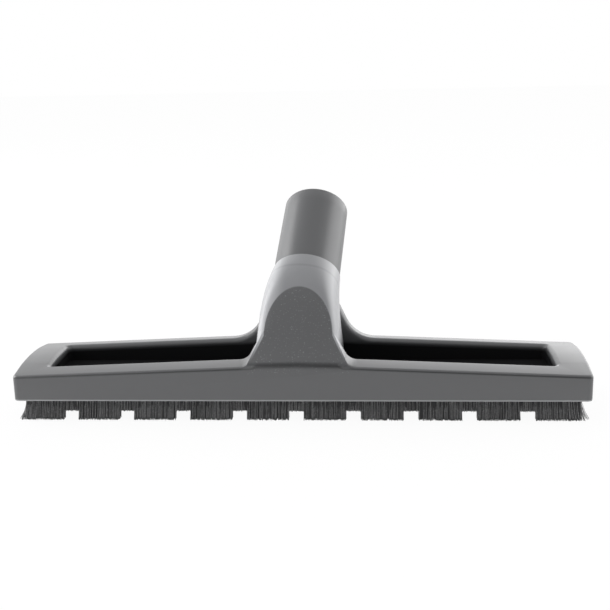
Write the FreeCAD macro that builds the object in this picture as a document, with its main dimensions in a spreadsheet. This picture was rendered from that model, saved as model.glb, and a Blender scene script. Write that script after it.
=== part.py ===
import FreeCAD
import Part
import Sketcher
import math
import os

# Hard floor brush for a vacuum cleaner: one moulded housing with a leaning socket neck,
# and four strip brushes pressed into the groove round its underside.
# X runs along the head, Y to the back, Z up. Z = 0 is the plane of the bristle tips.

# Driving sizes in millimetres and degrees
sizes = {
    "head_length": 300.0,
    "head_depth": 60.0,
    "bristle_reach": 11.15,
    "end_height": 13.55,
    "roof_slope": 2.27,
    "crown_rise": 2.9,
    "wall": 2.3,
    "corner_radius": 3.0,
    "rim_round": 1.7,
    "rim_width": 12.4,
    "end_rim_width": 17.0,
    "chamber_height": 5.0,
    "cavity_roof": 8.4,
    "well_corner": 2.5,
    "well_round": 2.6,
    "neck_depth": 59.0,
    "neck_half_width": 22.8,
    "neck_turn": 6.0,
    "neck_turn_back": 5.0,
    "neck_squareness": 5.2,
    "neck_squareness_fade": 1.5,
    "neck_waist": 0.75,
    "neck_overlap": 9.0,
    "panel_edge_round": 7.0,
    "panel_allowance": 0.3,
    "front_foot_radius": 7.0,
    "front_foot_lean": 30.0,
    "rear_foot_radius": 18.0,
    "rear_foot_lean": 25.0,
    "front_foot_top": 18.05,
    "rear_foot_top": 18.6,
    "front_foot_height": 20.0,
    "rear_foot_height": 26.5,
    "panel_angle": 56.0,
    "panel_base_height": 19.5,
    "panel_crease_radius": 6.0,
    "collar_back": 26.0,
    "collar_height": 65.0,
    "collar_radius": 18.75,
    "socket_lean": 52.0,
    "socket_length": 49.0,
    "collar_step": 0.4,
    "socket_taper": 0.3,
    "socket_bore_radius": 16.0,
    "socket_bore_length": 45.0,
    "stop_ledge": 1.4,
    "mouth_chamfer": 0.7,
    "strip_setback": 5.15,
    "strip_width": 4.0,
    "strip_height": 5.0,
    "strip_recess": 1.3,
    "strip_metal": 0.5,
    "strip_end_gap": 4.6,
    "seat_clearance": 0.1,
    "wire_radius": 0.9,
    "wire_clearance": 0.05,
    "wire_depth": 1.7,
    "wire_end_gap": 1.0,
    "corner_gap": 0.3,
    "bristle_spread": 0.8,
    "notch_width": 7.5,
    "notch_height": 4.6,
    "notch_pitch": 29.83,
    "notch_count": 9.0,
    "notch_shift": -1.25,
    "rib_thickness": 1.4,
    "rib_pitch": 30.0,
    "rib_rows": 10.0,
    "end_rib_pitch": 20.0,
    "end_rib_rows": 2.0,
}

# Sizes with room to spare for cutting tools
overrun = 20.0
tool_width = 90.0
tool_top = 110.0

# Places closer than this count as the same
touch = 0.02

doc = FreeCAD.newDocument("hard_floor_brush")
sheet = doc.addObject("Spreadsheet::Sheet", "Sizes")
for row, (alias, value) in enumerate(sizes.items(), start=1):
    sheet.set("A%d" % row, alias)
    sheet.set("B%d" % row, str(value))
    sheet.setAlias("B%d" % row, alias)
doc.recompute()


def size(alias):
    return float(sheet.get(alias))


def value_of(formula):
    """Works out a formula of sheet names as a plain number."""
    return float(sheet.evalExpression(formula.replace("$", "Sizes.")))


def bind(thing, prop, formula):
    thing.setExpression(prop, formula.replace("$", "Sizes."))


# Formulas that more than one piece uses
half_length = "$head_length / 2"
half_depth = "$head_depth / 2"
well_half = "($head_depth / 2 - $rim_width)"
bar_width = "($rim_width + $wall)"
middle_half = "($head_depth / 2 - %s)" % bar_width
rim_top_at_end = "($bristle_reach + $end_height)"
crown_radius = "($head_depth ^ 2 / (8 * $crown_rise) + $crown_rise / 2)"
slope = "tan($roof_slope * 1 deg)"


def crown_at(y):
    """Height of the crowned top over its front edge, at a distance from the middle."""
    return "(sqrt(%s ^ 2 - (%s) ^ 2) - %s + $crown_rise)" % (crown_radius, y, crown_radius)


def roof_at(x, y):
    return "(%s + (%s - (%s)) * %s + %s)" % (rim_top_at_end, half_length, x, slope, crown_at(y))


def new_body(name):
    body = doc.addObject("PartDesign::Body", name)
    body.Label = name
    return body


def plane_of(body, role):
    return [plane for plane in body.Origin.OriginFeatures if plane.Role == role][0]


def new_sketch(body, name, role, offset=None):
    sketch = body.newObject("Sketcher::SketchObject", name)
    sketch.AttachmentSupport = [(plane_of(body, role), "")]
    sketch.MapMode = "FlatFace"
    if offset:
        bind(sketch, "AttachmentOffset.Base.z", offset)
    return sketch


def draw_polygon(sketch, corners):
    """A closed outline whose corners are pairs of formulas, each corner held by both."""
    numbers = [FreeCAD.Vector(value_of(x), value_of(y), 0) for x, y in corners]
    count = len(corners)
    for index in range(count):
        sketch.addGeometry(Part.LineSegment(numbers[index], numbers[(index + 1) % count]))
    for index in range(count):
        sketch.addConstraint(Sketcher.Constraint("Coincident", index, 2, (index + 1) % count, 1))
    for index, corner in enumerate(corners):
        for kind, formula in zip(("DistanceX", "DistanceY"), corner):
            number = value_of(formula)
            row = sketch.addConstraint(Sketcher.Constraint(kind, -1, 1, index, 1, number))
            bind(sketch, "Constraints[%d]" % row, formula)


def draw_circle(sketch, x, y, radius):
    """A circle whose middle and radius are formulas."""
    middle = FreeCAD.Vector(value_of(x), value_of(y), 0)
    ring = sketch.addGeometry(Part.Circle(middle, FreeCAD.Vector(0, 0, 1), value_of(radius)))
    for constraint, formula in (
        (Sketcher.Constraint("DistanceX", -1, 1, ring, 3, middle.x), x),
        (Sketcher.Constraint("DistanceY", -1, 1, ring, 3, middle.y), y),
        (Sketcher.Constraint("Radius", ring, value_of(radius)), radius),
    ):
        row = sketch.addConstraint(constraint)
        bind(sketch, "Constraints[%d]" % row, formula)


def slanted_pad(body, sketch, length, direction):
    """A pad whose length runs square to the sketch while it leans in a direction of three formulas."""
    feature = body.newObject("PartDesign::Pad", sketch.Name + "_pad")
    feature.Profile = sketch
    feature.UseCustomVector = True
    feature.AlongSketchNormal = True
    feature.Direction = FreeCAD.Vector(*(value_of(formula) for formula in direction))
    for axis, formula in zip("xyz", direction):
        bind(feature, "Direction." + axis, formula)
    bind(feature, "Length", length)
    return feature


def mirrored(body, feature, role):
    mirror = body.newObject("PartDesign::Mirrored", feature.Name + "_halves")
    mirror.Originals = [feature]
    mirror.MirrorPlane = (plane_of(body, role), [""])
    body.Tip = mirror
    return mirror


def pad(body, sketch, length, middle=False, reverse=False):
    feature = body.newObject("PartDesign::Pad", sketch.Name + "_pad")
    feature.Profile = sketch
    bind(feature, "Length", length)
    feature.Midplane = middle
    feature.Reversed = reverse
    return feature


def pocket(body, sketch, length, middle=False, reverse=False):
    feature = body.newObject("PartDesign::Pocket", sketch.Name + "_pocket")
    feature.Profile = sketch
    bind(feature, "Length", length)
    feature.Midplane = middle
    feature.Reversed = reverse
    return feature


def row_pattern(body, feature, role, pitch, count):
    """Repeats a feature along an axis of the body's own origin."""
    pattern = body.newObject("PartDesign::LinearPattern", feature.Name + "_row")
    pattern.Originals = [feature]
    pattern.Direction = (plane_of(body, role), [""])
    bind(pattern, "Length", "%s * (%s - 1)" % (pitch, count))
    bind(pattern, "Occurrences", count)
    body.Tip = pattern
    return pattern


def combine(kind, name, base, tools):
    """A boolean of whole objects: kind is Cut, Fuse or Common."""
    if kind == "Cut":
        tool = tools[0] if len(tools) == 1 else combine("Fuse", name + "_tools", tools[0], tools[1:])
        result = doc.addObject("Part::Cut", name)
        result.Base = base
        result.Tool = tool
    else:
        result = doc.addObject("Part::Multi" + kind, name)
        result.Shapes = [base] + list(tools)
    result.Label = name
    result.Refine = True
    doc.recompute()
    return result


# Head, as a front bar, a middle and a rear bar that share one crowned top


def head_middle():
    body = new_body("head_middle")
    section = new_sketch(body, "middle_section", "YZ_Plane")
    radius = value_of(crown_radius)
    shoulder = value_of(roof_at("0", middle_half))
    reach = value_of(middle_half)
    centre_height = value_of(roof_at("0", "0")) - radius
    low = value_of("$bristle_reach / 2")
    corners = [
        FreeCAD.Vector(reach, shoulder, 0),
        FreeCAD.Vector(-reach, shoulder, 0),
        FreeCAD.Vector(-reach, low, 0),
        FreeCAD.Vector(reach, low, 0),
    ]
    circle = Part.Circle(FreeCAD.Vector(0, centre_height, 0), FreeCAD.Vector(0, 0, 1), radius)
    half_turn = math.asin(reach / radius)
    section.addGeometry(Part.ArcOfCircle(circle, math.pi / 2 - half_turn, math.pi / 2 + half_turn))
    for index in range(1, len(corners)):
        section.addGeometry(Part.LineSegment(corners[index], corners[(index + 1) % len(corners)]))
    for index in range(len(corners)):
        section.addConstraint(Sketcher.Constraint("Coincident", index, 2, (index + 1) % len(corners), 1))
    for constraint in (
        Sketcher.Constraint("Vertical", 1),
        Sketcher.Constraint("Horizontal", 2),
        Sketcher.Constraint("Vertical", 3),
        Sketcher.Constraint("PointOnObject", 0, 3, -2),
    ):
        section.addConstraint(constraint)
    rows = [
        (Sketcher.Constraint("Radius", 0, radius), crown_radius),
        (Sketcher.Constraint("DistanceX", -1, 1, 0, 1, reach), middle_half),
        (Sketcher.Constraint("DistanceY", -1, 1, 0, 1, shoulder), roof_at("0", middle_half)),
        (Sketcher.Constraint("DistanceY", -1, 1, 3, 1, low), "$bristle_reach / 2"),
    ]
    for constraint, formula in rows:
        row = section.addConstraint(constraint)
        bind(section, "Constraints[%d]" % row, formula)
    half = slanted_pad(body, section, half_length, ("1", "0", "-" + slope))
    mirrored(body, half, "YZ_Plane")
    return body


def foot_profile(sketch, foot):
    """Front view of one bar: half its sloping top, then the hollow foot that climbs the neck.
    Its lines are the bottom, the end, the slope, the foot's arc, its lean, the top and the middle."""
    lean = math.radians(size(foot + "_foot_lean"))
    radius = size(foot + "_foot_radius")
    reach = value_of(half_length)
    end_top = value_of(rim_top_at_end)
    fall = math.tan(math.radians(size("roof_slope")))
    crest_formula = "%s + $%s_foot_height" % (rim_top_at_end, foot)
    crest = value_of(crest_formula)
    wide = size(foot + "_foot_top")
    # where the lean line meets the slope line, then the arc's two ends
    spare = crest - end_top - fall * (reach - wide)
    meet_x = wide + spare * math.tan(lean) / (1 - fall * math.tan(lean))
    roof = end_top + fall * (reach - meet_x)
    slope_angle = math.radians(size("roof_slope"))
    turn = math.pi / 2 - lean - slope_angle
    run = radius * math.tan(turn / 2)
    arc_low = FreeCAD.Vector(meet_x + run * math.cos(slope_angle), roof - run * math.sin(slope_angle), 0)
    arc_high = FreeCAD.Vector(meet_x - run * math.sin(lean), roof + run * math.cos(lean), 0)
    centre = arc_low + FreeCAD.Vector(math.sin(slope_angle), math.cos(slope_angle), 0) * radius
    start = math.atan2(arc_high.y - centre.y, arc_high.x - centre.x)
    stop = math.atan2(arc_low.y - centre.y, arc_low.x - centre.x)
    corners = [
        FreeCAD.Vector(0, 0, 0),
        FreeCAD.Vector(reach, 0, 0),
        FreeCAD.Vector(reach, end_top, 0),
    ]
    top = [FreeCAD.Vector(wide, crest, 0), FreeCAD.Vector(0, crest, 0)]
    sketch.addGeometry(Part.LineSegment(corners[0], corners[1]))
    sketch.addGeometry(Part.LineSegment(corners[1], corners[2]))
    sketch.addGeometry(Part.LineSegment(corners[2], arc_low))
    circle = Part.Circle(centre, FreeCAD.Vector(0, 0, 1), radius)
    sketch.addGeometry(Part.ArcOfCircle(circle, start, stop))
    sketch.addGeometry(Part.LineSegment(arc_high, top[0]))
    sketch.addGeometry(Part.LineSegment(top[0], top[1]))
    sketch.addGeometry(Part.LineSegment(top[1], corners[0]))
    for constraint in (
        Sketcher.Constraint("Coincident", 0, 1, -1, 1),
        Sketcher.Constraint("Coincident", 0, 2, 1, 1),
        Sketcher.Constraint("Coincident", 1, 2, 2, 1),
        Sketcher.Constraint("Coincident", 4, 2, 5, 1),
        Sketcher.Constraint("Coincident", 5, 2, 6, 1),
        Sketcher.Constraint("Coincident", 6, 2, 0, 1),
        Sketcher.Constraint("Horizontal", 0),
        Sketcher.Constraint("Vertical", 1),
        Sketcher.Constraint("Horizontal", 5),
        Sketcher.Constraint("Vertical", 6),
        Sketcher.Constraint("Tangent", 2, 2, 3, 2),
        Sketcher.Constraint("Tangent", 3, 1, 4, 1),
    ):
        sketch.addConstraint(constraint)
    rows = [
        (Sketcher.Constraint("DistanceX", -1, 1, 1, 1, reach), half_length),
        (Sketcher.Constraint("DistanceY", -1, 1, 2, 1, end_top), rim_top_at_end),
        (Sketcher.Constraint("Angle", 2, math.pi - slope_angle), "180 deg - $roof_slope * 1 deg"),
        (Sketcher.Constraint("Radius", 3, radius), "$%s_foot_radius" % foot),
        (Sketcher.Constraint("Angle", 4, math.pi / 2 + lean), "90 deg + $%s_foot_lean * 1 deg" % foot),
        (Sketcher.Constraint("DistanceX", -1, 1, 4, 2, wide), "$%s_foot_top" % foot),
        (Sketcher.Constraint("DistanceY", -1, 1, 4, 2, crest), crest_formula),
    ]
    for constraint, formula in rows:
        row = sketch.addConstraint(constraint)
        bind(sketch, "Constraints[%d]" % row, formula)


def head_bar(side, foot):
    body = new_body(foot + "_bar")
    out = "" if side < 0 else "-"
    profile = new_sketch(body, foot + "_outline", "XZ_Plane", out + half_depth)
    foot_profile(profile, foot)
    inward = bar_width if side < 0 else "-" + bar_width
    half = slanted_pad(body, profile, bar_width, ("0", inward, crown_at(middle_half)))
    mirrored(body, half, "YZ_Plane")
    return body


middle = head_middle()
front_bar = head_bar(-1, "front")
rear_bar = head_bar(1, "rear")

# Wells: two open pockets beside the neck, whose floors are the roof of the suction chamber

well_floor = "($bristle_reach + $chamber_height + $wall)"
well_end = "(%s - $end_rim_width)" % half_length


def edges_of(shape, test):
    """Names of the edges of a shape that pass a test."""
    return ["Edge%d" % number for number, edge in enumerate(shape.Edges, start=1) if test(edge)]


def fillet(body, feature, radius, test):
    doc.recompute()
    rounding = body.newObject("PartDesign::Fillet", feature.Name + "_round")
    rounding.Base = (feature, edges_of(feature.Shape, test))
    bind(rounding, "Radius", radius)
    return rounding


def is_upright(edge):
    box = edge.BoundBox
    return box.XLength + box.YLength < touch


def well_cutter():
    body = new_body("well_cutter")
    plan = new_sketch(body, "well_plan", "XY_Plane", well_floor)
    draw_polygon(plan, [
        ("$front_foot_top", "-" + well_half),
        (well_end, "-" + well_half),
        (well_end, well_half),
        ("$front_foot_top", well_half),
    ])
    block = pad(body, plan, str(tool_top))
    outer_x = value_of(well_end)
    fillet(body, block, "$well_corner",
           lambda edge: is_upright(edge) and edge.BoundBox.XMax > outer_x - touch)
    return body


right_well = well_cutter()
left_well = doc.addObject("Part::Mirroring", "left_well_cutter")
left_well.Source = right_well
left_well.Normal = FreeCAD.Vector(1, 0, 0)


def trim_block(name, bottom, height):
    """A wide block that clears everything between two heights."""
    block = doc.addObject("Part::Box", name)
    bind(block, "Length", "$head_length + %s" % (2 * overrun))
    bind(block, "Width", "$head_depth + %s" % (2 * overrun))
    bind(block, "Height", height)
    bind(block, "Placement.Base.x", "-%s - %s" % (half_length, overrun))
    bind(block, "Placement.Base.y", "-%s - %s" % (half_depth, overrun))
    bind(block, "Placement.Base.z", bottom)
    return block


def panel_cutter(name, setback):
    """Clears the front of the neck: upright in line with the front bar, then leaning back."""
    body = new_body(name)
    view = new_sketch(body, name + "_side", "YZ_Plane")
    face = "(-%s + %s)" % (half_depth, setback)
    bend = "($bristle_reach + $panel_base_height - (%s) * tan($panel_angle / 2 * 1 deg))" % setback
    draw_polygon(view, [
        (face, "0"),
        (face, bend),
        ("%s + (%s - %s) / tan($panel_angle * 1 deg)" % (face, tool_top, bend), str(tool_top)),
        (str(-tool_width), str(tool_top)),
        (str(-tool_width), "0"),
    ])
    block = pad(body, view, str(tool_width), middle=True)
    bend_height = value_of(bend)
    fillet(body, block, "$panel_crease_radius + %s" % setback,
           lambda edge: abs(edge.CenterOfMass.z - bend_height) < touch and edge.BoundBox.XLength > touch)
    return body


panel = panel_cutter("panel_cutter", "0")
duct_panel = panel_cutter("duct_panel_cutter", "$wall")

# Neck: an elbow whose sections turn from a squared outline on the head to the round collar

ring_points = 48
ring_samples = 720
neck_rings = 7
spline_degree = 3


def neck_frame(share):
    """Place of the neck's section at a share of its bend: pivot, outward direction, turn."""
    lean = math.radians(size("socket_lean"))
    base = value_of("$bristle_reach + $panel_base_height")
    rise = size("collar_height") - base
    pivot = FreeCAD.Vector(0, size("collar_back") + rise / math.tan(lean), base)
    tilt = lean * share
    outward = FreeCAD.Vector(0, -math.cos(tilt), math.sin(tilt))
    turn = FreeCAD.Placement(
        FreeCAD.Vector(), FreeCAD.Rotation(FreeCAD.Vector(0, 0, 1), -size("neck_turn") * share),
        FreeCAD.Vector(0, size("neck_turn_back"), 0))
    return pivot, outward, turn, rise / math.sin(lean)


def soft_lesser(first, second, blend):
    """The smaller of two distances, rounded off where they are closer than the blend."""
    overlap = max(blend - abs(first - second), 0) / blend
    return min(first, second) - overlap ** 2 * blend / 4


def outline_reach(angle, long_half, wide_half, power, panel_reach, blend):
    """Distance from a section's middle to its outline: a squared oval, cut flat by the front panel."""
    along = abs(math.sin(angle) / long_half) ** power
    across = abs(math.cos(angle) / wide_half) ** power
    oval = (along + across) ** (-1 / power)
    if math.sin(angle) * oval < panel_reach - blend:
        return oval
    return soft_lesser(oval, panel_reach / math.sin(angle), blend)


def spread_evenly(outline, count):
    """Points at equal steps along a closed outline given as many close points."""
    lengths = [0.0]
    for index, point in enumerate(outline):
        lengths.append(lengths[-1] + point.distanceToPoint(outline[(index + 1) % len(outline)]))
    points = []
    index = 0
    for step in range(count):
        target = lengths[-1] * step / count
        while lengths[index + 1] < target:
            index += 1
        share = (target - lengths[index]) / (lengths[index + 1] - lengths[index])
        start = outline[index]
        points.append(start + (outline[(index + 1) % len(outline)] - start) * share)
    return points


def neck_ring(share, inset, drop):
    """A ring of points round the neck: squared at the base, a circle at the collar."""
    pivot, outward, turn, collar_reach = neck_frame(share)
    back = size("neck_depth") - value_of(half_depth)
    front = value_of(half_depth) + size("neck_overlap")
    base_reach = pivot.y + (front - back) / 2
    drawn = share ** size("neck_waist")
    reach = base_reach + (collar_reach - base_reach) * drawn
    collar = size("collar_radius")
    base_long = (front + back) / 2
    long_half = base_long + (collar - base_long) * drawn - inset
    wide_half = size("neck_half_width") + (collar - size("neck_half_width")) * drawn - inset
    power = 2 + (size("neck_squareness") - 2) * (1 - share) ** size("neck_squareness_fade")
    lean = math.radians(size("panel_angle"))
    facing = FreeCAD.Vector(0, -math.sin(lean), math.cos(lean))
    foot = FreeCAD.Vector(0, -value_of(half_depth), pivot.z)
    panel_reach = (foot - pivot).dot(facing) / outward.dot(facing) - reach - inset + size("panel_allowance")
    blend = size("panel_edge_round") * (1 - share) + size("seat_clearance")
    outline = []
    for index in range(ring_samples):
        angle = 2 * math.pi * index / ring_samples - math.pi / 2
        radius = outline_reach(angle, long_half, wide_half, power, panel_reach, blend)
        place = pivot + outward * (reach + radius * math.sin(angle))
        place = place + FreeCAD.Vector(radius * math.cos(angle), 0, -drop)
        outline.append(turn.multVec(place))
    return spread_evenly(outline, ring_points)


def neck_elbow(name, inset, bottom):
    """The bent part of the neck, with the straight part that runs down to a height."""
    drop = value_of("$bristle_reach + $panel_base_height") - bottom
    rings = [neck_ring(0.0, inset, drop), neck_ring(0.0, inset, drop / 2)]
    rings += [neck_ring(step / (neck_rings - 1), inset, 0.0) for step in range(neck_rings)]
    spans = len(rings) - spline_degree
    surface = Part.BSplineSurface()
    surface.buildFromPolesMultsKnots(
        rings,
        [spline_degree + 1] + [1] * (spans - 1) + [spline_degree + 1],
        [1] * (ring_points + 1),
        [float(knot) for knot in range(spans + 1)],
        [float(knot) for knot in range(ring_points + 1)],
        False, True, spline_degree, spline_degree)
    ends = [Part.Face(Part.Wire([surface.uIso(end).toShape()])) for end in (0.0, float(spans))]
    shell = Part.Shell([surface.toShape()] + ends)
    shell.sewShape()
    feature = doc.addObject("Part::Feature", name)
    feature.Label = name
    feature.Shape = Part.Solid(shell)
    return feature


def socket_placement():
    """At the centre of the collar's top, with Z along the socket."""
    pivot, outward, turn, reach = neck_frame(1.0)
    centre = turn.multVec(pivot + outward * reach)
    aim = FreeCAD.Rotation(FreeCAD.Vector(1, 0, 0), -size("socket_lean"))
    return FreeCAD.Placement(centre, turn.Rotation.multiply(aim))


def turned_body(name, corners):
    """A body turned about Z from an outline of radius and height."""
    body = new_body(name)
    outline = new_sketch(body, name + "_outline", "XZ_Plane")
    draw_polygon(outline, corners)
    turning = body.newObject("PartDesign::Revolution", name + "_turning")
    turning.Profile = outline
    turning.ReferenceAxis = (outline, ["V_Axis"])
    turning.Angle = 360.0
    body.Placement = socket_placement()
    return body


neck = neck_elbow("neck_form", 0.0, value_of("$bristle_reach + $chamber_height"))
duct = neck_elbow("duct_form", size("wall"), value_of("$bristle_reach + $cavity_roof + $wall"))
socket_radius = "($collar_radius - $collar_step)"
socket_rim = "(%s - $socket_taper - $mouth_chamfer / 2)" % socket_radius
socket = turned_body("socket_form", [
    ("0", "-$wall"),
    (socket_radius, "-$wall"),
    (socket_radius + " - $socket_taper", "$socket_length - $mouth_chamfer"),
    (socket_rim, "$socket_length"),
    ("0", "$socket_length"),
])
bore_start = "$socket_length - $socket_bore_length"
bore = turned_body("socket_bore", [
    ("0", "-$seat_clearance"),
    ("$socket_bore_radius - $stop_ledge", "-$seat_clearance"),
    ("$socket_bore_radius - $stop_ledge", bore_start),
    ("$socket_bore_radius", bore_start),
    ("$socket_bore_radius", "$socket_length - $mouth_chamfer"),
    ("$socket_bore_radius + $mouth_chamfer", "$socket_length"),
    ("$socket_bore_radius + $mouth_chamfer", "$socket_length + %s" % overrun),
    ("0", "$socket_length + %s" % overrun),
])


def rounded(name, source, rounds):
    """A body that rounds the edges of another object: pairs of a radius and a test for its edges."""
    body = new_body(name)
    body.BaseFeature = source
    doc.recompute()
    feature = [item for item in body.Group if item.TypeId == "PartDesign::FeatureBase"][0]
    for radius, test in rounds:
        feature = fillet(body, feature, radius, test)
    doc.recompute()
    return body


def lies_at(low, high, place):
    """True where both ends of a span lie at a distance either side of the middle."""
    return high - low < touch and abs(abs(low) - place) < touch


def lies_beyond(low, high, place):
    return min(abs(low), abs(high)) > place - touch


def on_outline(edge):
    """True for an edge in the head's outer walls, its rounded corners included."""
    box = edge.BoundBox
    reach = value_of(half_length)
    depth = value_of(half_depth)
    round_off = size("corner_radius")
    in_corner = lies_beyond(box.XMin, box.XMax, reach - round_off) and lies_beyond(
        box.YMin, box.YMax, depth - round_off)
    return lies_at(box.XMin, box.XMax, reach) or lies_at(box.YMin, box.YMax, depth) or in_corner


def is_corner(edge):
    return is_upright(edge) and on_outline(edge)


def is_outer_top(edge):
    box = edge.BoundBox
    return on_outline(edge) and box.ZMin > value_of(rim_top_at_end) - touch and box.ZLength > touch


def is_well_rim(edge):
    box = edge.BoundBox
    end = value_of(well_end)
    on_side = lies_at(box.YMin, box.YMax, value_of(well_half)) and box.ZLength > touch
    on_end = lies_beyond(box.XMin, box.XMax, end - size("well_corner")) and (
        max(abs(box.XMin), abs(box.XMax)) < end + touch)
    return box.ZMin > value_of(well_floor) + touch and (on_side or on_end)


head_blank = combine("Fuse", "head_blank", middle, [front_bar, rear_bar])
below = trim_block("underside_trim", "-%s" % overrun, "%s + $bristle_reach" % overrun)
head_welled = combine("Cut", "head_welled", head_blank, [right_well, left_well, below])
head_rounded = rounded("head_rounded", head_welled, [
    ("$corner_radius", is_corner),
    ("$rim_round", is_outer_top),
    ("$well_round", is_well_rim),
])
neck_and_socket = combine("Fuse", "neck_and_socket", neck, [socket])
outer_blank = combine("Fuse", "outer_blank", head_rounded, [neck_and_socket])
outer_form = combine("Cut", "outer_form", outer_blank, [panel])

# Underside: a groove all round for the strips, and the suction chamber inside it

inner_half = "(%s + $wall)" % well_half
inner_end = "(%s + $wall)" % well_end
cavity_top = "($bristle_reach + $cavity_roof)"
strip_top = "($bristle_reach + $strip_recess + $strip_height)"
strip_middle = "(%s - $strip_setback - $strip_width / 2)" % half_depth
slot_half = "($strip_width / 2 + $seat_clearance)"
neck_zone = "($neck_half_width + $wall)"


def ribs(name, along, start, middle_line, span, pitch, count):
    """A row of thin ribs across the groove, notched where the strip lies.
    along is the plane whose normal the row follows, XZ or YZ; start is the first rib's middle."""
    body = new_body(name)
    plan = new_sketch(body, name + "_plan", "XY_Plane", "$bristle_reach")
    half_rib = "$rib_thickness / 2"
    near = "%s - %s" % (start, half_rib)
    far = "%s + %s" % (start, half_rib)
    low, high = span
    if along == "YZ":
        corners = [(near, low), (far, low), (far, high), (near, high)]
    else:
        corners = [(low, near), (high, near), (high, far), (low, far)]
    draw_polygon(plan, corners)
    rib = pad(body, plan, str(overrun))
    row_pattern(body, rib, along + "_Plane", pitch, count)
    slot = new_sketch(body, name + "_slot", "XY_Plane", "$bristle_reach - $seat_clearance")
    reach = "(%s + %s)" % (half_length, overrun)
    side_a = "%s - %s" % (middle_line, slot_half)
    side_b = "%s + %s" % (middle_line, slot_half)
    if along == "YZ":
        corners = [("-" + reach, side_a), (reach, side_a), (reach, side_b), ("-" + reach, side_b)]
    else:
        corners = [(side_a, "-" + reach), (side_b, "-" + reach), (side_b, reach), (side_a, reach)]
    draw_polygon(slot, corners)
    pocket(body, slot, "%s - $bristle_reach + $seat_clearance" % strip_top, reverse=True)
    return body


def long_groove(side, name):
    body = new_body(name + "_groove")
    sign = "-" if side < 0 else ""
    out = "" if side < 0 else "-"
    outer_y = "(%s - $wall)" % half_depth
    end_x = "(%s - $wall)" % half_length
    outline = new_sketch(body, name + "_groove_outline", "XZ_Plane", out + outer_y)
    low = "$bristle_reach / 2"

    def under_roof(x):
        return "%s - $wall" % roof_at(x, outer_y)

    draw_polygon(outline, [
        ("-" + end_x, low),
        (end_x, low),
        (end_x, under_roof(end_x)),
        (neck_zone, under_roof(neck_zone)),
        (neck_zone, cavity_top),
        ("-" + neck_zone, cavity_top),
        ("-" + neck_zone, under_roof(neck_zone)),
        ("-" + end_x, under_roof(end_x)),
    ])
    climb = "%s - %s" % (crown_at(inner_half), crown_at(outer_y))
    width = "(%s - %s)" % (outer_y, inner_half)
    slanted_pad(body, outline, width, ("0", width if side < 0 else "-" + width, climb))
    span = (inner_half, half_depth) if side > 0 else ("-" + half_depth, "-" + inner_half)
    row = ribs(name + "_ribs", "YZ", "(-$rib_pitch * ($rib_rows - 1) / 2)",
               sign + strip_middle, span, "$rib_pitch", "$rib_rows")
    return combine("Cut", name + "_groove_ribbed", body, [row])


def end_groove(side, name):
    body = new_body(name + "_groove")
    sign = "-" if side < 0 else ""
    end_x = "(%s - $wall)" % half_length
    outline = new_sketch(body, name + "_groove_outline", "XZ_Plane")
    low = "$bristle_reach / 2"

    def under_roof(x):
        return "%s - $wall" % roof_at(x, inner_half)

    draw_polygon(outline, [
        (sign + inner_end, low),
        (sign + end_x, low),
        (sign + end_x, under_roof(end_x)),
        (sign + inner_end, under_roof(inner_end)),
    ])
    pad(body, outline, "2 * " + inner_half, middle=True)
    ends = (inner_end, half_length) if side > 0 else ("-" + half_length, "-" + inner_end)
    middle_line = sign + "(%s - $strip_setback - $strip_width / 2)" % half_length
    row = ribs(name + "_ribs", "XZ", "(-$end_rib_pitch * ($end_rib_rows - 1) / 2)",
               middle_line, ends, "$end_rib_pitch", "$end_rib_rows")
    return combine("Cut", name + "_groove_ribbed", body, [row])


def flat_cutter(name, half_x, half_y, bottom, height):
    body = new_body(name)
    plan = new_sketch(body, name + "_plan", "XY_Plane", bottom)
    draw_polygon(plan, [
        ("-" + half_x, "-" + half_y),
        (half_x, "-" + half_y),
        (half_x, half_y),
        ("-" + half_x, half_y),
    ])
    pad(body, plan, height)
    return body


grooves = [
    long_groove(-1, "front"),
    long_groove(1, "rear"),
    end_groove(-1, "left"),
    end_groove(1, "right"),
]
chamber = flat_cutter("suction_chamber", well_end, well_half, "$bristle_reach / 2",
                      "$bristle_reach / 2 + $chamber_height")
mouth = flat_cutter("suction_mouth", "($neck_half_width - $wall)", well_half, "$bristle_reach / 2",
                    "$bristle_reach / 2 + $cavity_roof + 2 * $wall")
duct_shaped = combine("Cut", "duct_shaped", duct, [duct_panel])
duct_open = combine("Fuse", "duct_open", duct_shaped, [bore])
housing = combine("Cut", "housing_grooved", outer_form, grooves)
housing = combine("Cut", "housing_open", housing, [chamber, mouth])
housing = combine("Cut", "brush_housing", housing, [duct_open])

# Strip brushes: bristles folded over a core wire and gripped by a folded metal channel

strip_foot = "($bristle_reach + $strip_recess)"
grip_half = "($strip_width / 2 - $strip_metal)"
grip_top = "(%s - $strip_metal)" % strip_top
wire_height = "(%s - $wire_depth)" % grip_top
long_strip = "($head_length - 2 * $strip_end_gap)"
short_strip = "(2 * (%s - %s - $bristle_spread - $corner_gap))" % (strip_middle, grip_half)


def section_plane(along):
    return "YZ_Plane" if along == "X" else "XZ_Plane"


def strip_channel(name, along, middle_line, length):
    body = new_body(name + "_channel")
    section = new_sketch(body, name + "_channel_section", section_plane(along))
    outer_low = "%s - $strip_width / 2" % middle_line
    outer_high = "%s + $strip_width / 2" % middle_line
    inner_low = "%s - %s" % (middle_line, grip_half)
    inner_high = "%s + %s" % (middle_line, grip_half)
    draw_polygon(section, [
        (outer_low, strip_foot),
        (inner_low, strip_foot),
        (inner_low, grip_top),
        (inner_high, grip_top),
        (inner_high, strip_foot),
        (outer_high, strip_foot),
        (outer_high, strip_top),
        (outer_low, strip_top),
    ])
    pad(body, section, length, middle=True)
    return body


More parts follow.
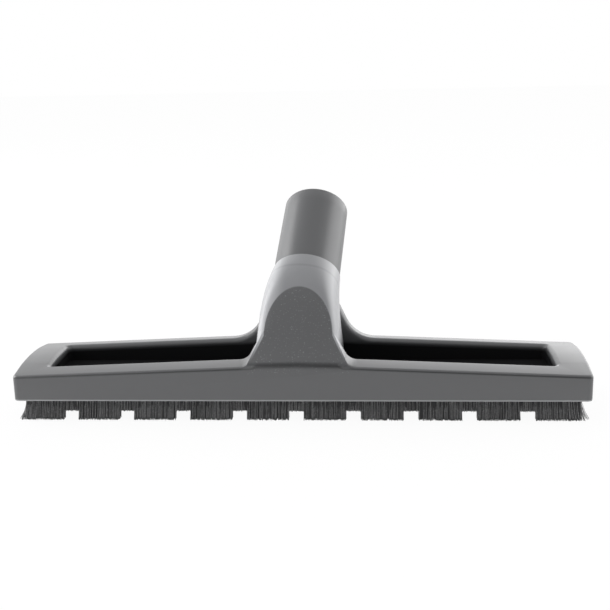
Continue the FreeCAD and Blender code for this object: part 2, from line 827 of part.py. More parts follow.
def strip_bristles(name, along, middle_line, length, notched):
    body = new_body(name + "_bristles")
    section = new_sketch(body, name + "_bristles_section", section_plane(along))
    inner_low = "%s - %s" % (middle_line, grip_half)
    inner_high = "%s + %s" % (middle_line, grip_half)
    draw_polygon(section, [
        (inner_low + " - $bristle_spread", "0"),
        (inner_high + " + $bristle_spread", "0"),
        (inner_high, strip_foot),
        (inner_high, grip_top),
        (inner_low, grip_top),
        (inner_low, strip_foot),
    ])
    draw_circle(section, middle_line, wire_height, "$wire_radius + $wire_clearance")
    pad(body, section, length, middle=True)
    if notched:
        notch = new_sketch(body, name + "_notch", "XZ_Plane")
        first = "(-$notch_pitch * ($notch_count - 1) / 2 + $notch_shift)"
        near = "%s - $notch_width / 2" % first
        far = "%s + $notch_width / 2" % first
        draw_polygon(notch, [
            (near, "-$notch_height"),
            (far, "-$notch_height"),
            (far, "$notch_height"),
            (near, "$notch_height"),
        ])
        gap = pocket(body, notch, "2 * $head_depth", middle=True)
        row_pattern(body, gap, "YZ_Plane", "$notch_pitch", "$notch_count")
    return body


def strip_wire(name, along, middle_line, length):
    body = new_body(name + "_core_wire")
    section = new_sketch(body, name + "_core_wire_section", section_plane(along))
    draw_circle(section, middle_line, wire_height, "$wire_radius")
    pad(body, section, "%s - 2 * $wire_end_gap" % length, middle=True)
    return body


pieces = [housing]
end_strip_middle = "(%s - $strip_setback - $strip_width / 2)" % half_length
for name, along, middle_line, length, notched in (
    ("front", "X", "-" + strip_middle, long_strip, True),
    ("rear", "X", strip_middle, long_strip, False),
    ("left", "Y", "-" + end_strip_middle, short_strip, False),
    ("right", "Y", end_strip_middle, short_strip, False),
):
    pieces.append(strip_channel(name, along, middle_line, length))
    pieces.append(strip_bristles(name, along, middle_line, length, notched))
    pieces.append(strip_wire(name, along, middle_line, length))


def middle_shift():
    """Moves the origin from the head's middle to the middle of the whole part, socket included."""
    place = socket_placement()
    axis = place.Rotation.multVec(FreeCAD.Vector(0, 0, 1))
    rim = value_of(socket_rim)
    rearmost = place.multVec(FreeCAD.Vector(0, 0, size("socket_length"))).y
    rearmost = rearmost + rim * math.sqrt(1 - axis.y ** 2)
    return FreeCAD.Vector(0, (value_of(half_depth) - rearmost) / 2, 0)


for piece in pieces:
    piece.Placement.Base = middle_shift()
doc.recompute()
for thing in doc.Objects:
    if "Invalid" in thing.State or "Error" in thing.State:
        raise RuntimeError("%s did not build: %s" % (thing.Label, thing.State))
os.makedirs("parts", exist_ok=True)
for piece in pieces:
    if piece.Shape.isNull() or not piece.Shape.isValid():
        raise RuntimeError("%s has no sound shape" % piece.Label)
    piece.Shape.exportStep("parts/%s.step" % piece.Label)
    print(piece.Label, len(piece.Shape.Solids), round(piece.Shape.Volume))
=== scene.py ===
import math
import random

import bpy
import bmesh
from mathutils import Matrix, Vector


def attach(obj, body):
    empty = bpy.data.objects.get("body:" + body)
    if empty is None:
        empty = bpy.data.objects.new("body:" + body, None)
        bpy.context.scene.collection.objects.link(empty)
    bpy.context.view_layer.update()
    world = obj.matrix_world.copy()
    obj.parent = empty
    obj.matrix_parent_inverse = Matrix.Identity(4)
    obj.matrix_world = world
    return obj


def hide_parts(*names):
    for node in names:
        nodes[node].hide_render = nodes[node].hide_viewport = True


# Hard floor brush for a vacuum cleaner: grey moulded head, leaning socket neck, dark bristle skirt.
# X runs along the head, Y to the back and Z up, in metres. Z = 0 is the floor.
# The pieces' sizes are written in millimetres, and those of the studio and the camera's place in metres.

mm = 0.001

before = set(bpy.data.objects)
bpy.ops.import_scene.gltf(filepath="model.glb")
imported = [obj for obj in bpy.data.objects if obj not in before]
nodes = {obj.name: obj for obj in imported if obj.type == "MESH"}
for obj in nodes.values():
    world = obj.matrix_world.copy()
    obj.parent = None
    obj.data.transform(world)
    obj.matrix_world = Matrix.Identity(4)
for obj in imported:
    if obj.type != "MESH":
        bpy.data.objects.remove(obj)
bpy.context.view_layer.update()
print("frame loaded:", len(nodes), "nodes")

# the head's middle and half its length, as in the solids
headMiddleY = -22.640134
headHalf = 150.0


def hexToLinear(text):
    channels = [int(text[i:i + 2], 16) / 255 for i in (1, 3, 5)]
    return tuple(c / 12.92 if c <= 0.04045 else ((c + 0.055) / 1.055) ** 2.4 for c in channels) + (1.0,)


def addNode(tree, kind, inputs=(), **settings):
    # inputs: socket to value, where a value is a number, a colour or another node's output
    node = tree.nodes.new(kind)
    for key, value in settings.items():
        setattr(node, key, value)
    for key, value in dict(inputs).items():
        if isinstance(value, bpy.types.NodeSocket):
            tree.links.new(value, node.inputs[key])
        else:
            node.inputs[key].default_value = value
    return node


def newMaterial(name):
    material = bpy.data.materials.new(name)
    material.use_nodes = True
    material.node_tree.nodes.clear()
    return material, material.node_tree


def maths(tree, operation, *values):
    return addNode(tree, "ShaderNodeMath", enumerate(values), operation=operation).outputs[0]


def product(tree, first, *others):
    for other in others:
        first = maths(tree, "MULTIPLY", first, other)
    return first


def ramp(tree, value, low, high):
    # 0 below low and 1 above high, with soft ends; low may be the larger one
    node = addNode(tree, "ShaderNodeMapRange", {0: value, 1: low, 2: high, 3: 0.0, 4: 1.0},
                   interpolation_type="SMOOTHSTEP", clamp=True)
    return node.outputs[0]


def mixColour(tree, factor, first, second):
    # first and second: a node's output or a hex text
    node = addNode(tree, "ShaderNodeMix", data_type="RGBA")
    sockets = {item.identifier: item for item in node.inputs}
    for name, value in (("A_Color", first), ("B_Color", second)):
        if isinstance(value, str):
            sockets[name].default_value = hexToLinear(value)
        else:
            tree.links.new(value, sockets[name])
    tree.links.new(factor, sockets["Factor_Float"])
    return next(item for item in node.outputs if item.identifier == "Result_Color")


def millimetres(tree, place):
    split = addNode(tree, "ShaderNodeSeparateXYZ", {0: place})
    return [maths(tree, "DIVIDE", output, mm) for output in split.outputs]


def headPlace(tree, place):
    # distance from the head's middle along it, signed distance across it, and height
    x, y, z = millimetres(tree, place)
    return maths(tree, "ABSOLUTE", x), maths(tree, "SUBTRACT", y, headMiddleY), z


def planeDistance(tree, place, plane):
    # millimetres from a plane, positive on the side that its normal points to
    away = addNode(tree, "ShaderNodeVectorMath", {0: place, 1: Vector(plane["point"]) * mm},
                   operation="SUBTRACT")
    dot = addNode(tree, "ShaderNodeVectorMath", {0: away.outputs[0], 1: plane["normal"]},
                  operation="DOT_PRODUCT")
    return maths(tree, "DIVIDE", dot.outputs["Value"], mm)


# Grey ABS, injection moulded in a spark-eroded tool: an even grey with a satin grain, which is
# drawn coarser than the real one so that it shows. Its lighter and darker regions, placed as in the
# photograph, are painted highlights, painted sheen and painted shade.
plastic = {"colour": "#545557", "roughness": 0.4, "ior": 1.5, "grainMm": 0.35, "grainDetail": 2.0,
           "grainDepthMm": 0.01, "grainStrength": 0.5}
# the top of the rims, which rises from the head's ends to its middle
rim = {"atEnd": 26.6, "slope": 0.0396}
# painted shade in the pockets: their walls painted near black and dull below the round of their rims
pocketShade = {"colour": "#202021", "side": 18.4, "end": 134.0, "soft": 0.5, "floor": 18.0,
          "depthFrom": 1.4, "depthTo": 4.4}
# the neck's flat front: its plane, its outline of half an ellipse on spreading sides, and its specks
panel = {"point": (0.0, -52.640134, 30.65), "normal": (0.0, -0.829038, 0.559193),
         "front": -2.0, "back": -3.0, "middle": 0.2, "base": 44.0, "half": 17.9, "rise": 22.5,
         "spread": 0.55, "inside": 0.96, "outside": 1.03,
         "speck": "#9c9d9f", "speckMm": 0.7, "speckFrom": 0.68, "speckTo": 0.8, "speckShare": 0.35}
# the collar's plane, where the tube begins, with a thin dark seam, the painted shadow of the collar's
# small step on the tube
collar = {"point": (2.195, 3.245, 65.0), "normal": (0.08237, 0.78369, 0.61566), "soft": 0.12,
          "seam": "#3a3b3c", "seamHalf": 0.35, "seamCore": 0.1}
# painted sheen: the neck's round painted paler, fading towards the head and the back, and its flanks
# painted still paler, as painted highlights
neckSheen = {"colour": "#88898c", "low": 31.0, "high": 44.0, "ahead": -22.0, "behind": -36.0,
        "flank": "#aeafb2", "flankMiddle": 3.0, "flankFrom": 9.5, "flankTo": 18.0}
# a faint second ring on the neck, below the collar's plane
faintRing = {"away": -9.5, "half": 1.5, "share": 0.18}
# painted highlight: the lower edge of the outer walls painted pale
lipHighlight = {"colour": "#a2a3a5", "top": 12.3, "full": 11.7, "wallY": 29.3, "wallX": 149.3}
# painted shade: a dark line painted where the front wall turns into the top, wider and higher below the
# panel
creaseShade = {"colour": "#232324", "frontY": -28.6, "atEnd": 23.8, "half": 0.8, "share": 0.75,
          "panelX": 22.0, "panelSoft": 2.0, "panelRise": 1.3, "panelHalf": 2.2}
# painted highlight: the inner edge of the front rim painted pale, away from the neck
rimHighlight = {"colour": "#d2d3d5", "side": 18.9, "half": 0.9, "above": 2.6, "share": 0.5,
           "neckX": 31.0, "neckSoft": 6.0}


def rimHeight(tree, far, atEnd):
    rise = maths(tree, "MULTIPLY", maths(tree, "SUBTRACT", headHalf, far), rim["slope"])
    return maths(tree, "ADD", rise, atEnd)


# painted shade: near black below the rims of the pockets, for the light that their depth takes away
def pocketShadeMask(tree, place):
    far, across, height = headPlace(tree, place)
    depth = maths(tree, "SUBTRACT", rimHeight(tree, far, rim["atEnd"]), height)
    side = maths(tree, "ABSOLUTE", across)
    return product(tree, ramp(tree, depth, pocketShade["depthFrom"], pocketShade["depthTo"]),
                   ramp(tree, side, pocketShade["side"] + pocketShade["soft"], pocketShade["side"]),
                   ramp(tree, far, pocketShade["end"] + pocketShade["soft"], pocketShade["end"]),
                   maths(tree, "GREATER_THAN", height, pocketShade["floor"]))


def panelMask(tree, place):
    x, y, z = millimetres(tree, place)
    above = maths(tree, "SUBTRACT", z, panel["base"])
    spread = maths(tree, "MAXIMUM", maths(tree, "MULTIPLY", above, -panel["spread"]), 0.0)
    half = maths(tree, "ADD", spread, panel["half"])
    across = maths(tree, "DIVIDE", maths(tree, "SUBTRACT", x, panel["middle"]), half)
    up = maths(tree, "DIVIDE", maths(tree, "MAXIMUM", above, 0.0), panel["rise"])
    oval = maths(tree, "ADD", maths(tree, "MULTIPLY", across, across), maths(tree, "MULTIPLY", up, up))
    return product(tree, ramp(tree, oval, panel["outside"], panel["inside"]),
                   ramp(tree, planeDistance(tree, place, panel), panel["back"], panel["front"]))


# painted sheen: where the neck's round is painted paler
def neckSheenMask(tree, place, flat):
    # flat: the panel's own mask
    below = ramp(tree, planeDistance(tree, place, collar), collar["soft"], -collar["soft"])
    raised = ramp(tree, millimetres(tree, place)[2], neckSheen["low"], neckSheen["high"])
    ahead = ramp(tree, planeDistance(tree, place, panel), neckSheen["behind"], neckSheen["ahead"])
    return product(tree, maths(tree, "SUBTRACT", 1.0, flat), below, raised, ahead)


# painted highlight: the neck's flanks, painted paler still
def flankSheenMask(tree, place, neckSheenArea):
    # the second argument: the mask of the neck's painted sheen, as for the ring
    away = maths(tree, "SUBTRACT", millimetres(tree, place)[0], neckSheen["flankMiddle"])
    side = ramp(tree, maths(tree, "ABSOLUTE", away), neckSheen["flankFrom"], neckSheen["flankTo"])
    return product(tree, side, neckSheenArea)


def ringMask(tree, place, neckSheenArea):
    away = maths(tree, "SUBTRACT", planeDistance(tree, place, collar), faintRing["away"])
    line = ramp(tree, maths(tree, "ABSOLUTE", away), faintRing["half"], 0.0)
    return product(tree, line, neckSheenArea, faintRing["share"])


# painted shadow: a thin dark line along the collar's plane
def seamShadeMask(tree, place):
    away = maths(tree, "ABSOLUTE", planeDistance(tree, place, collar))
    return ramp(tree, away, collar["seamHalf"], collar["seamCore"])


# painted highlight along the bottom of the outer walls
def lipHighlightMask(tree, place):
    far, across, height = headPlace(tree, place)
    side = maths(tree, "ABSOLUTE", across)
    wall = maths(tree, "MAXIMUM", maths(tree, "GREATER_THAN", far, lipHighlight["wallX"]),
                 maths(tree, "GREATER_THAN", side, lipHighlight["wallY"]))
    return product(tree, wall, ramp(tree, height, lipHighlight["top"], lipHighlight["full"]))


# painted shade: a dark line along the front wall's top edge
def creaseShadeMask(tree, place):
    far, across, height = headPlace(tree, place)
    near = ramp(tree, far, creaseShade["panelX"] + creaseShade["panelSoft"], creaseShade["panelX"] - creaseShade["panelSoft"])
    line = rimHeight(tree, far, creaseShade["atEnd"])
    line = maths(tree, "ADD", line, maths(tree, "MULTIPLY", near, creaseShade["panelRise"]))
    half = maths(tree, "MULTIPLY", near, creaseShade["panelHalf"] - creaseShade["half"])
    half = maths(tree, "ADD", half, creaseShade["half"])
    away = maths(tree, "DIVIDE", maths(tree, "ABSOLUTE", maths(tree, "SUBTRACT", height, line)), half)
    front = maths(tree, "LESS_THAN", across, creaseShade["frontY"])
    return product(tree, ramp(tree, away, 1.0, 0.0), front, creaseShade["share"])


# painted highlight along the front rim's inner edge
def rimHighlightMask(tree, place):
    far, across, height = headPlace(tree, place)
    depth = maths(tree, "SUBTRACT", rimHeight(tree, far, rim["atEnd"]), height)
    away = maths(tree, "ABSOLUTE", maths(tree, "ADD", across, rimHighlight["side"]))
    return product(tree, ramp(tree, away, rimHighlight["half"], 0.0),
                   maths(tree, "LESS_THAN", depth, rimHighlight["above"]),
                   maths(tree, "LESS_THAN", far, pocketShade["end"]),
                   ramp(tree, far, rimHighlight["neckX"] - rimHighlight["neckSoft"], rimHighlight["neckX"]),
                   rimHighlight["share"])


def greyAbs():
    material, tree = newMaterial("grey ABS, moulded satin, with painted sheen and shade")
    place = addNode(tree, "ShaderNodeTexCoord").outputs["Object"]
    grain = addNode(tree, "ShaderNodeTexNoise",
                    {"Vector": place, "Scale": 1 / (plastic["grainMm"] * mm),
                     "Detail": plastic["grainDetail"]})
    bump = addNode(tree, "ShaderNodeBump",
                   {"Height": grain.outputs["Fac"], "Distance": plastic["grainDepthMm"] * mm,
                    "Strength": plastic["grainStrength"]})
    specks = addNode(tree, "ShaderNodeTexNoise",
                     {"Vector": place, "Scale": 1 / (panel["speckMm"] * mm), "Detail": 0.0})
    speck = ramp(tree, specks.outputs["Fac"], panel["speckFrom"], panel["speckTo"])
    flat = panelMask(tree, place)
    neckSheenArea = neckSheenMask(tree, place, flat)
    paintedPocketShade = pocketShadeMask(tree, place)
    colour = plastic["colour"]
    # over the grey: light specks, painted sheen on the neck, a faint dark ring, a painted shadow at the
    # collar, painted highlights on the lip and rim edge, and painted shade in the crease and the pockets
    for mask, tone in ((product(tree, speck, flat, panel["speckShare"]), panel["speck"]),
                       (neckSheenArea, neckSheen["colour"]),
                       (flankSheenMask(tree, place, neckSheenArea), neckSheen["flank"]),
                       (ringMask(tree, place, neckSheenArea), collar["seam"]),
                       (seamShadeMask(tree, place), collar["seam"]),
                       (lipHighlightMask(tree, place), lipHighlight["colour"]),
                       (creaseShadeMask(tree, place), creaseShade["colour"]),
                       (paintedPocketShade, pocketShade["colour"]),
                       (rimHighlightMask(tree, place), rimHighlight["colour"])):
        colour = mixColour(tree, mask, colour, tone)
    # the pockets' painted shade also turns their reflection off
    skin = addNode(tree, "ShaderNodeBsdfPrincipled",
                   {"Base Color": colour, "Roughness": plastic["roughness"], "IOR": plastic["ior"],
                    "Specular IOR Level": maths(tree, "SUBTRACT", 1.0, paintedPocketShade),
                    "Normal": bump.outputs["Normal"]})
    addNode(tree, "ShaderNodeOutputMaterial", {"Surface": skin.outputs["BSDF"]})
    return material


def plainMaterial(name, colour, roughness, metallic):
    material, tree = newMaterial(name)
    skin = addNode(tree, "ShaderNodeBsdfPrincipled",
                   {"Base Color": hexToLinear(colour), "Roughness": roughness, "Metallic": metallic})
    addNode(tree, "ShaderNodeOutputMaterial", {"Surface": skin.outputs["BSDF"]})
    return material


# Nylon filament, drawn: grey strands, some paler, that look dark where they shade one another.
# All are darker at their tips, and the tone changes slowly along a strand.
nylon = {"colour": "#838384", "pale": "#c8c9ca", "tip": "#3c3c3d", "strandMm": 0.2, "along": 0.03,
         "paleFrom": 0.5, "paleTo": 0.78, "tipTop": 2.2, "roughness": 0.45}


def filamentNylon():
    material, tree = newMaterial("dark nylon filament, drawn")
    place = addNode(tree, "ShaderNodeTexCoord").outputs["Object"]
    pitch = 1 / (nylon["strandMm"] * mm)
    stretched = addNode(tree, "ShaderNodeMapping",
                        {"Vector": place, "Scale": (pitch, pitch, pitch * nylon["along"])})
    strand = addNode(tree, "ShaderNodeTexNoise",
                     {"Vector": stretched.outputs[0], "Scale": 1.0, "Detail": 1.0})
    pale = ramp(tree, strand.outputs["Fac"], nylon["paleFrom"], nylon["paleTo"])
    height = addNode(tree, "ShaderNodeSeparateXYZ", {0: place}).outputs[2]
    tip = ramp(tree, height, nylon["tipTop"] * mm, 0.0)
    colour = mixColour(tree, tip, mixColour(tree, pale, nylon["colour"], nylon["pale"]), nylon["tip"])
    skin = addNode(tree, "ShaderNodeBsdfPrincipled", {"Base Color": colour, "Roughness": nylon["roughness"]})
    addNode(tree, "ShaderNodeOutputMaterial", {"Surface": skin.outputs["BSDF"]})
    return material


housingSkin = greyAbs()
filamentSkin = filamentNylon()
# the packed core is painted darker than the single strands, as painted shade of the strands round it
coreSkin = plainMaterial("dark nylon filament, packed", "#3e3e3f", 0.8, 0.0)  # dull, in the others' shade
stripSkin = plainMaterial("zinc plated steel strip, folded", "#b4b5b6", 0.35, 1.0)  # pale and half glossy
wireSkin = plainMaterial("galvanised steel wire, drawn", "#a5a6a8", 0.4, 1.0)  # a little darker and duller
print("materials made")


def addObject(name, data):
    thing = bpy.data.objects.new(name, data)
    bpy.context.scene.collection.objects.link(thing)
    return thing


def dress(thing, skin):
    thing.data.materials.clear()
    thing.data.materials.append(skin)


# Housing: a merged copy of the solid, smooth over its curves and sharp at its edges (degrees).
# Its bottom lip and the lower sides of the neck's panel are rounded here; the bends are in radians.
housing = {"merge": 0.002, "sharpAngle": 28, "same": 0.01, "halfDepth": 30.0,
           "corner": 3.0, "cornerSlack": 0.1,
           "lipRound": 0.55, "lipSteps": 2, "lipHeight": 11.15, "lipBend": 1.0,
           "sideRound": 1.5, "sideSteps": 3, "sideFrom": 17.0, "sideTop": 47.0,
           "sideSlack": 0.02, "sideBend": 0.5}


def onLip(edge):
    # an edge of the outer wall's bottom, which runs round the head with rounded corners
    for vert in edge.verts:
        x, y, z = (part / mm for part in vert.co)
        inX = headHalf - abs(x)
        inY = housing["halfDepth"] - abs(y - headMiddleY)
        corner = housing["corner"]
        if abs(z - housing["lipHeight"]) > housing["same"]:
            return False
        if inX < corner and inY < corner:
            if math.hypot(corner - inX, corner - inY) < corner - housing["cornerSlack"]:
                return False
        elif min(inX, inY) > housing["same"]:
            return False
    return edge.is_manifold and edge.calc_face_angle(0) > housing["lipBend"]


def onPanelSide(edge):
    # an edge between the neck's flat front and the side of its foot
    for vert in edge.verts:
        place = vert.co / mm
        away = (place - Vector(panel["point"])).dot(Vector(panel["normal"]))
        if abs(away) > housing["sideSlack"] or abs(place.x) < housing["sideFrom"]:
            return False
        if place.z > housing["sideTop"]:
            return False
    return edge.is_manifold and edge.calc_face_angle(0) > housing["sideBend"]


def roundEdges(bm, edges, radius, steps, clamp):
    bmesh.ops.bevel(bm, geom=edges, offset=radius * mm, offset_type="OFFSET", affect="EDGES", segments=steps,
                    profile=0.5, material=-1, clamp_overlap=clamp)


def makeHousing():
    mesh = nodes["brush_housing"].data.copy()
    mesh.name = "housingShell"
    bm = bmesh.new()
    bm.from_mesh(mesh)
    bmesh.ops.remove_doubles(bm, verts=bm.verts, dist=housing["merge"] * mm)
    lipEdges = [edge for edge in bm.edges if onLip(edge)]
    roundEdges(bm, lipEdges, housing["lipRound"], housing["lipSteps"], False)
    sideEdges = [edge for edge in bm.edges if onPanelSide(edge)]
    roundEdges(bm, sideEdges, housing["sideRound"], housing["sideSteps"], True)
    limit = math.radians(housing["sharpAngle"])
    for face in bm.faces:
        face.smooth = True
    for edge in bm.edges:
        edge.smooth = edge.is_manifold and edge.calc_face_angle(0) < limit
    bm.to_mesh(mesh)
    bm.free()
    return addObject("housingShell", mesh)


shell = makeHousing()
dress(shell, housingSkin)
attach(shell, "root")
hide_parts("brush_housing")
print("housing made")

for side in ("front", "rear", "left", "right"):
    dress(nodes[side + "_channel"], stripSkin)
    dress(nodes[side + "_core_wire"], wireSkin)

# Bristles: single filaments round a dark packed core, with gaps trimmed along the front row.
# A strip's middle is measured from the head's middle, and its tips lean outward.
strips = {
    "front": {"along": "X", "middle": -22.85, "half": 145.4, "outward": 3.6, "filaments": 6900, "seed": 3},
    "rear": {"along": "X", "middle": 22.85, "half": 145.4, "outward": 2.0, "filaments": 3600, "seed": 5},
    "left": {"along": "Y", "middle": -142.85, "half": 20.25, "outward": 1.6, "filaments": 620, "seed": 7},
    "right": {"along": "Y", "middle": 142.85, "half": 20.25, "outward": 1.6, "filaments": 620, "seed": 11},
}
# a filament: steps along it from root to tip, half the row's thickness at both, and how uneven it is
hair = {"radius": 0.13, "root": 12.3, "steps": (0.0, 0.35, 0.7, 1.0), "rootHalf": 1.35, "tipHalf": 2.3,
        "bow": 1.5, "inset": 0.35, "ragged": 0.225, "sway": 0.1225, "loose": 0.03, "looseSway": 0.8,
        "endZone": 14.0, "endSplay": 3.4, "endShare": (0.3, 1.0)}
# single filaments that stand off the ends of a long row
stray = {"count": 14, "inset": (0.1, 1.5), "out": (3.0, 4.3)}
core = {"rootHalf": 1.1, "tipHalf": 1.7, "raise": 1.0, "short": 1.2, "besideGap": 0.5, "overGap": 0.6}
gap = {"strip": "front", "pitch": 29.83, "first": -120.57, "count": 9, "half": 3.75, "height": 4.2,
       "edge": 0.1}
gapCentres = [gap["first"] + step * gap["pitch"] for step in range(gap["count"])]


def toPart(along, length, across, height):
    # from a strip's own directions to a place in the part's frame, in metres
    x, y = (length, across) if along == "X" else (across, length)
    return Vector((x * mm, (y + headMiddleY) * mm, height * mm))


def trimHeight(length):
    near = min(abs(length - centre) for centre in gapCentres)
    return gap["height"] if near < gap["half"] + gap["edge"] else 0.0


def hairPath(strip, gaps, chance, number):
    half = strip["half"]
    length = chance.uniform(-half, half) * (1 - hair["inset"] / half)
    astray = number < stray["count"] and strip["along"] == "X"
    if astray:
        length = math.copysign(half - chance.uniform(*stray["inset"]), number % 2 - 0.5)  # each end in turn
    across = chance.uniform(-1, 1)
    sway = chance.gauss(0, hair["sway"])
    if chance.random() < hair["loose"]:
        sway = chance.gauss(0, hair["looseSway"])
    ending = max(0.0, hair["endZone"] - (half - abs(length))) / hair["endZone"]
    sway += math.copysign(hair["endSplay"] * ending ** 2 * chance.uniform(*hair["endShare"]), length)
    if astray:
        sway = math.copysign(chance.uniform(*stray["out"]), length)
    floor = trimHeight(length) if gaps else 0.0
    if gaps and floor == 0.0 and trimHeight(length + sway) > 0:
        sway = 0.0  # no tip hangs into a gap
    tip = floor + hair["radius"] + abs(chance.gauss(0, hair["ragged"]))
    root, middle = hair["root"], strip["middle"]
    outward = math.copysign(strip["outward"], middle)
    path = []
    for step in hair["steps"]:
        height = root + (tip - root) * step
        fall = (root - height) / root
        wide = hair["rootHalf"] + (hair["tipHalf"] - hair["rootHalf"]) * fall
        place = middle + outward * fall ** hair["bow"] + across * wide
        path.append(toPart(strip["along"], length + sway * fall ** 2, place, height))
    return path


def makeHairs(side, strip):
    chance = random.Random(strip["seed"])
    curve = bpy.data.curves.new(side + "Hairs", "CURVE")
    curve.dimensions = "3D"
    curve.bevel_depth = hair["radius"] * mm
    curve.bevel_resolution = 0
    curve.use_fill_caps = True
    for number in range(strip["filaments"]):
        path = hairPath(strip, side == gap["strip"], chance, number)
        spline = curve.splines.new("POLY")
        spline.points.add(len(path) - 1)
        for point, place in zip(spline.points, path):
            point.co = (*place, 1.0)
    drawn = addObject(side + "Hairs", curve)
    bpy.context.view_layer.update()
    mesh = bpy.data.meshes.new_from_object(drawn.evaluated_get(bpy.context.evaluated_depsgraph_get()))
    mesh.name = side + "Bristles"
    bpy.data.objects.remove(drawn)
    return mesh


def coreBlock(bm, strip, start, stop, low, high):
    # a wedge that widens downwards, between two lengths
    made = bmesh.ops.create_cube(bm, size=2.0)
    for vert in made["verts"]:
        length = start if vert.co.x < 0 else stop
        height = low if vert.co.z < 0 else high
        fall = (hair["root"] - height) / hair["root"]
        wide = core["rootHalf"] + (core["tipHalf"] - core["rootHalf"]) * fall
        centre = strip["middle"] + math.copysign(strip["outward"] * fall ** hair["bow"], strip["middle"])
        vert.co = toPart(strip["along"], length, centre + math.copysign(wide, vert.co.y), height)


def makeCore(side, strip):
    bm = bmesh.new()
    reach = strip["half"] - core["short"]
    if side == gap["strip"]:
        beside, over = gap["half"] + core["besideGap"], gap["height"] + core["overGap"]
        ends = [-reach]
        for centre in gapCentres:
            ends += [centre - beside, centre + beside]
        ends.append(reach)
        coreBlock(bm, strip, -reach, reach, over, hair["root"])
        for index in range(0, len(ends), 2):
            coreBlock(bm, strip, ends[index], ends[index + 1], core["raise"], over)
    else:
        coreBlock(bm, strip, -reach, reach, core["raise"], hair["root"])
    bmesh.ops.recalc_face_normals(bm, faces=bm.faces)
    mesh = bpy.data.meshes.new(side + "Core")
    bm.to_mesh(mesh)
    bm.free()
    return mesh


for side, strip in strips.items():
    hairs = addObject(side + "BristleHairs", makeHairs(side, strip))
    dress(hairs, filamentSkin)
    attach(hairs, "root")
    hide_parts(side + "_bristles")
    block = addObject(side + "BristleCore", makeCore(side, strip))
    dress(block, coreSkin)
    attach(block, "root")
    print("bristles made:", side)

# Studio: a white floor, large lamps at both sides and a weak one in front. What the surroundings give
# is brightest behind, more so to the right, and nearly nothing low in front.
# From and to are parts of a direction of length 1: forward is -Y, behind +Y, and up Z.
studio = {"floorSize": 6.0, "floor": "#ffffff", "glow": 0.94, "side": 0.8,
          "front": 0.6, "frontFrom": -0.1, "frontTo": -0.6,
          "back": 2.4, "backFrom": 0.5, "backTo": 0.9, "backTurn": 2.4, "backReach": 0.3,
          "top": 0.75, "topFrom": 0.5, "topTo": 0.8,
          "gap": 0.05, "gapStart": (0.0, 0.1), "gapStop": (0.68, 0.5)}
white = (1, 1, 1, 1)
lamps = {
    "left side": {"place": (-1.2, 0.25, 0.5), "target": (0, 0, 0.07), "size": (1.0, 1.1), "watts": 13.0},
    "right side": {"place": (1.2, 0.35, 0.45), "target": (0, 0, 0.07), "size": (1.0, 1.1), "watts": 6.0},
    "front fill": {"place": (-0.8, -1.0, 0.35), "target": (0, 0, 0.03), "size": (0.6, 0.5), "watts": 1.5},
}


def mixShader(tree, share, first, second):
    return addNode(tree, "ShaderNodeMixShader", {0: share, 1: first.outputs[0], 2: second.outputs[0]})


def floorMaterial():
    # white board, lifted to pure white where the camera or a reflection sees it, with its shadow kept
    # faintly; clear from below, so that the underside can be looked at
    material, tree = newMaterial("white painted board")
    ray = addNode(tree, "ShaderNodeLightPath")
    seen = maths(tree, "MAXIMUM", ray.outputs["Is Camera Ray"], ray.outputs["Is Glossy Ray"])
    seen = maths(tree, "MAXIMUM", seen, ray.outputs["Is Transmission Ray"])
    board = addNode(tree, "ShaderNodeBsdfDiffuse", {"Color": hexToLinear(studio["floor"])})
    glow = addNode(tree, "ShaderNodeEmission", {"Color": white, "Strength": 1.0})
    top = mixShader(tree, maths(tree, "MULTIPLY", seen, studio["glow"]), board, glow)
    under = addNode(tree, "ShaderNodeNewGeometry").outputs["Backfacing"]
    both = mixShader(tree, under, top, addNode(tree, "ShaderNodeBsdfTransparent"))
    addNode(tree, "ShaderNodeOutputMaterial", {"Surface": both.outputs[0]})
    return material


def makeFloor():
    bm = bmesh.new()
    bmesh.ops.create_grid(bm, x_segments=1, y_segments=1, size=studio["floorSize"] / 2)
    mesh = bpy.data.meshes.new("floor")
    bm.to_mesh(mesh)
    bm.free()
    mesh.materials.append(floorMaterial())
    addObject("floor", mesh)


def blend(tree, factor, low, high):
    # low where the factor is 0 and high where it is 1
    return addNode(tree, "ShaderNodeMapRange", {0: factor, 3: low, 4: high}).outputs[0]


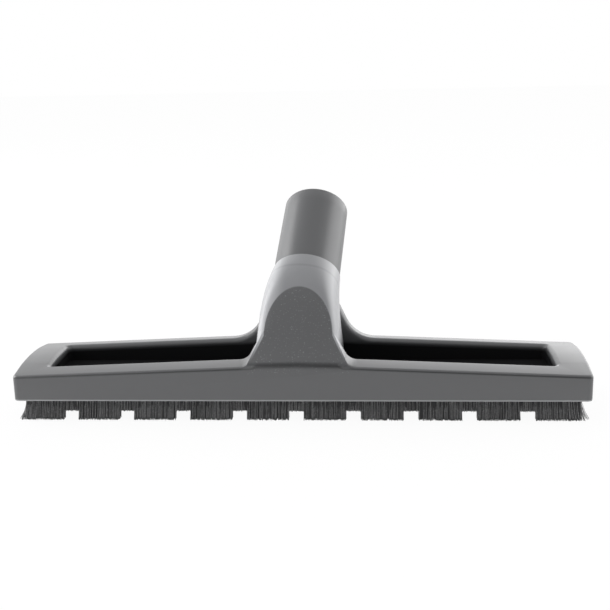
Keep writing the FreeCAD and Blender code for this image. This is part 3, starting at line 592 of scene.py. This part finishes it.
def makeWorld():
    world = bpy.data.worlds.new("soft white room")
    world.use_nodes = True
    tree = world.node_tree
    tree.nodes.clear()
    ray = addNode(tree, "ShaderNodeLightPath")
    seen = maths(tree, "MAXIMUM", ray.outputs["Is Camera Ray"], ray.outputs["Is Transmission Ray"])
    aim = addNode(tree, "ShaderNodeTexCoord").outputs["Generated"]
    x, y, z = addNode(tree, "ShaderNodeSeparateXYZ", {0: aim}).outputs
    forward = ramp(tree, y, studio["frontFrom"], studio["frontTo"])
    behind = ramp(tree, y, studio["backFrom"], studio["backTo"])
    above = ramp(tree, z, studio["topFrom"], studio["topTo"])
    hollow = product(tree, forward, ramp(tree, z, *studio["gapStart"]), ramp(tree, z, *studio["gapStop"]))
    turned = maths(tree, "MINIMUM", maths(tree, "MAXIMUM", x, -studio["backReach"]), studio["backReach"])
    back = maths(tree, "ADD", maths(tree, "MULTIPLY", turned, studio["backTurn"]), studio["back"])
    level = blend(tree, behind, studio["side"], back)
    level = blend(tree, forward, level, studio["front"])
    level = blend(tree, above, level, studio["top"])
    level = blend(tree, hollow, level, studio["gap"])
    room = addNode(tree, "ShaderNodeBackground", {"Color": white, "Strength": level})
    backdrop = addNode(tree, "ShaderNodeBackground", {"Color": white, "Strength": 1.0})
    addNode(tree, "ShaderNodeOutputWorld", {"Surface": mixShader(tree, seen, room, backdrop).outputs[0]})
    bpy.context.scene.world = world


def makeLamp(name, lamp):
    light = bpy.data.lights.new(name, "AREA")
    light.shape = "RECTANGLE"
    light.size, light.size_y = lamp["size"]
    light.energy = lamp["watts"]
    thing = addObject(name, light)
    thing.location = lamp["place"]
    aim = Vector(lamp["target"]) - Vector(lamp["place"])
    thing.rotation_euler = aim.to_track_quat("-Z", "Y").to_euler()


makeFloor()
makeWorld()
for name, lamp in lamps.items():
    makeLamp(name, lamp)
print("studio made")

# Camera, placed from the photograph's own perspective, with its angles in radians
lens = {"place": (0.040425, -0.553807, 0.196124), "yaw": -0.073, "pitch": 0.256, "roll": -0.024,
        "sensorMm": 36.0, "focalPx": 1033.286, "centrePx": (302.714, 301.48), "imagePx": 610}


def makeCamera():
    yaw, pitch, roll = lens["yaw"], lens["pitch"], lens["roll"]
    forward = Vector((math.sin(yaw) * math.cos(pitch), math.cos(yaw) * math.cos(pitch), -math.sin(pitch)))
    right = Vector((math.cos(yaw), -math.sin(yaw), 0))
    up = right.cross(forward)
    c, s = math.cos(roll), math.sin(roll)
    right, up = c * right + s * up, c * up - s * right
    data = bpy.data.cameras.new("photo view")
    data.sensor_width = lens["sensorMm"]
    data.lens = lens["sensorMm"] * lens["focalPx"] / lens["imagePx"]
    data.shift_x = 0.5 - lens["centrePx"][0] / lens["imagePx"]
    data.shift_y = lens["centrePx"][1] / lens["imagePx"] - 0.5
    camera = addObject("photo view", data)
    turn = Matrix((right, up, -forward)).transposed()
    camera.matrix_world = Matrix.Translation(lens["place"]) @ turn.to_4x4()
    bpy.context.scene.camera = camera


makeCamera()
bpy.context.scene.view_settings.view_transform = "Standard"
print("camera placed")
